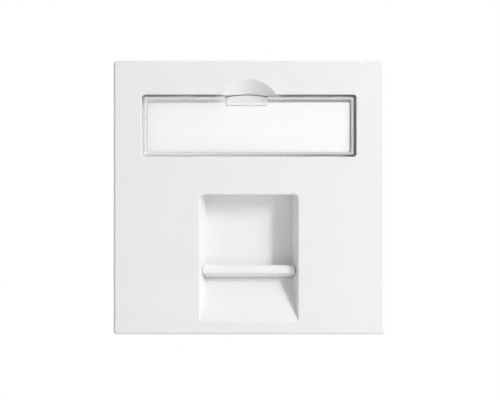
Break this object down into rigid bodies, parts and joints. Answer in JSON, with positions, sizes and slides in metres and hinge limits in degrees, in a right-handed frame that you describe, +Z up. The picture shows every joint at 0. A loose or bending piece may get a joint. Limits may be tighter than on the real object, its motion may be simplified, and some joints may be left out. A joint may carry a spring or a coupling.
{
  "type": "shuttered keystone faceplate module",
  "caption": "Square snap-in data faceplate module with a sprung sliding shutter over its plug recess, a clear label window and a rear bay for a keystone jack.",
  "frame": {"origin": "centre of the front plate's rear rim, the face that seats on the mounting frame", "axes": "+X to the right, +Z up, +Y from the face to the back, so the user looks along +Y"},
  "size_m": [0.0448, 0.0161, 0.0452],
  "materials": {
    "white_shell": "satin white moulded plastic",
    "white_shutter": "satin white moulded plastic",
    "spring_steel": "drawn wire",
    "clear_cover": "clear polished plastic",
    "paper_label": "matt white paper"
  },
  "bodies": {
    "faceplate": {"front_plate": "white_shell", "rear_carrier": "white_shell", "shutter_spring_left": "spring_steel", "shutter_spring_right": "spring_steel", "label_insert": "paper_label"},
    "shutter": {"shutter": "white_shutter"},
    "label_cover": {"label_cover": "clear_cover"}
  },
  "joints": [
    {"name": "shutter_slide", "type": "slide", "parent": "faceplate", "child": "shutter", "axis": [0, 0, 1], "range_m": [0, 0.0115], "stiffness_N_per_m": 200, "springref_m": -0.004, "deforming": ["shutter_spring_left", "shutter_spring_right"]},
    {"name": "label_cover_pull", "type": "slide", "parent": "faceplate", "child": "label_cover", "axis": [0, -1, 0], "range_m": [0, 0.012]}
  ]
}
